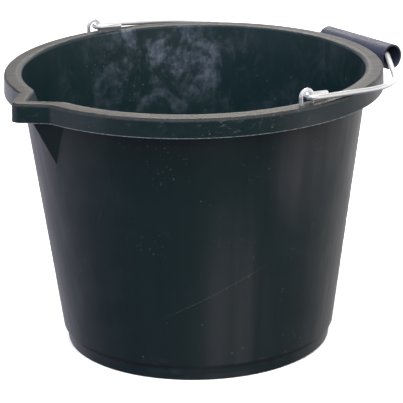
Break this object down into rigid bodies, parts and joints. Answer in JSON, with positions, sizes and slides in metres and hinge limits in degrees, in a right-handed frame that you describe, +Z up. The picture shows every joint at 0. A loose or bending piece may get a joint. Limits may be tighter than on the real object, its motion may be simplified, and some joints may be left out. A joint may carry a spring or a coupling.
{
  "type": "builder's bucket",
  "caption": "Black plastic builder's bucket with a pouring spout, a wide turned-down rim, a foot step, and a wire bail with a tube grip held by wire staples.",
  "frame": {"origin": "centre of the foot ring, on the floor the bucket stands on", "axes": "+Z up along the bucket's axis; +Y along the bail's pivot axis, towards the rear staple; the spout points to -X and the bail lies on the +X side"},
  "size_m": [0.3876, 0.336, 0.2641],
  "materials": {
    "black_polyethylene": "satin, moulded, scuffed",
    "zinc_wire": "bright zinc-coated",
    "grip_plastic": "satin"
  },
  "bodies": {
    "bucket": {"bucket": "black_polyethylene", "front_staple": "zinc_wire", "rear_staple": "zinc_wire"},
    "bail": {"bail": "zinc_wire"},
    "grip": {"grip": "grip_plastic"}
  },
  "joints": [
    {"name": "bail_swing", "type": "hinge", "parent": "bucket", "child": "bail", "pos_m": [0, 0, 0.2564], "axis": [0, -1, 0], "range_deg": [0, 180.9]},
    {"name": "grip_turn", "type": "hinge", "parent": "bail", "child": "grip", "pos_m": [0.18833, -0.0035, 0.23704], "axis": [0, 1, 0], "continuous": true}
  ]
}
